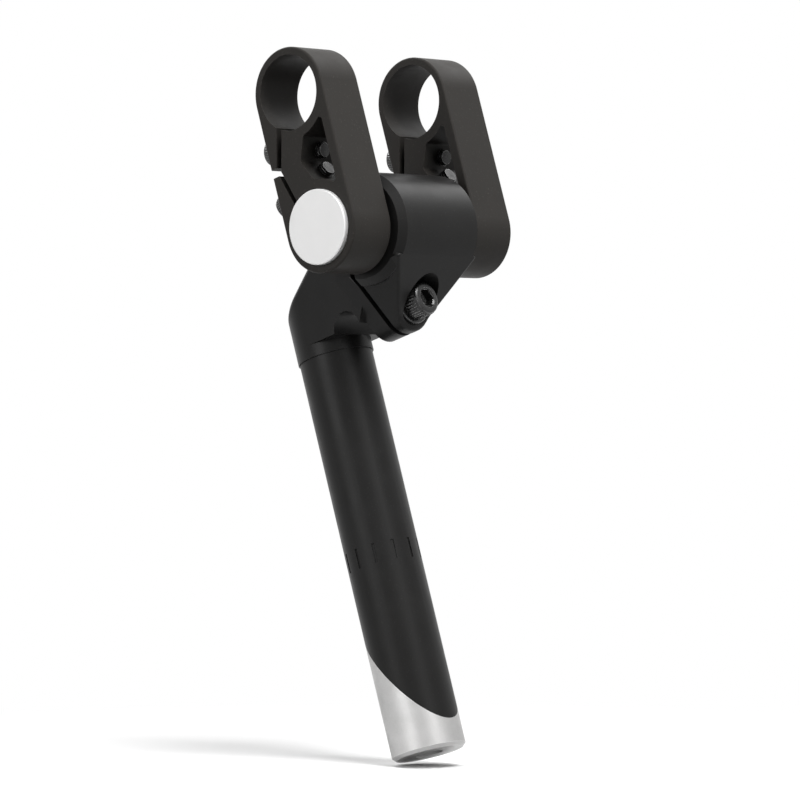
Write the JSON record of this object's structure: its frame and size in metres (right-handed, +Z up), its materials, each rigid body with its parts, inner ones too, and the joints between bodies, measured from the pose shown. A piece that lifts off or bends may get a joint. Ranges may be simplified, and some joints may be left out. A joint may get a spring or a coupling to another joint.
{
  "type": "handlebar stem",
  "caption": "Twin-arm quill stem: two clamp arms swing on a cross tube held in the quill's split barrel, over a wedge expander.",
  "frame": {"origin": "on the quill's axis, where the quill enters the headset's locknut", "axes": "+Z up the quill's axis, -Y forward, +X to the rider's left along the handlebar's axis"},
  "size_m": [0.0728, 0.064, 0.2048],
  "materials": {
    "stem_black": "matt black over forged alloy",
    "arm_black": "matt black over forged alloy",
    "tube_black": "satin black",
    "cap_silver": "matt blasted silver",
    "black_screw": "oiled black oxide",
    "zinc_steel": "zinc plate",
    "wedge_alloy": "as cast, tumbled"
  },
  "bodies": {
    "quill": {"quill_body": "stem_black", "expander_washer": "zinc_steel", "pinch_bolt": "black_screw", "pinch_washer": "black_screw"},
    "expander_bolt": {"expander_bolt": "zinc_steel"},
    "expander_wedge": {"expander_wedge": "wedge_alloy"},
    "cross_tube": {"cross_tube": "tube_black", "right_end_cap": "cap_silver", "left_end_cap": "cap_silver"},
    "arms": {"right_arm": "arm_black", "right_upper_screw": "black_screw", "right_upper_washer": "black_screw", "right_lower_screw": "black_screw", "right_lower_washer": "black_screw", "left_arm": "arm_black", "left_upper_screw": "black_screw", "left_upper_washer": "black_screw", "left_lower_screw": "black_screw", "left_lower_washer": "black_screw"}
  },
  "joints": [
    {"name": "arms_tilt", "type": "hinge", "parent": "quill", "child": "arms", "pos_m": [0, -0.0358, 0.03], "axis": [1, 0, 0], "range_deg": [-80, 130]},
    {"name": "cross_tube_turn", "type": "hinge", "parent": "quill", "child": "cross_tube", "pos_m": [0, -0.0358, 0.03], "axis": [1, 0, 0], "continuous": true},
    {"name": "expander_turn", "type": "hinge", "parent": "quill", "child": "expander_bolt", "pos_m": [0, 0, 0], "axis": [0, 0, 1], "range_deg": [0, 1730]},
    {"name": "wedge_drop", "type": "slide", "parent": "quill", "child": "expander_wedge", "axis": [0, 0, -1], "range_m": [0, 0.006]}
  ],
  "couplings": [
    {"joint": "expander_turn", "follows": "wedge_drop", "rad_per_m": 5026.5}
  ]
}
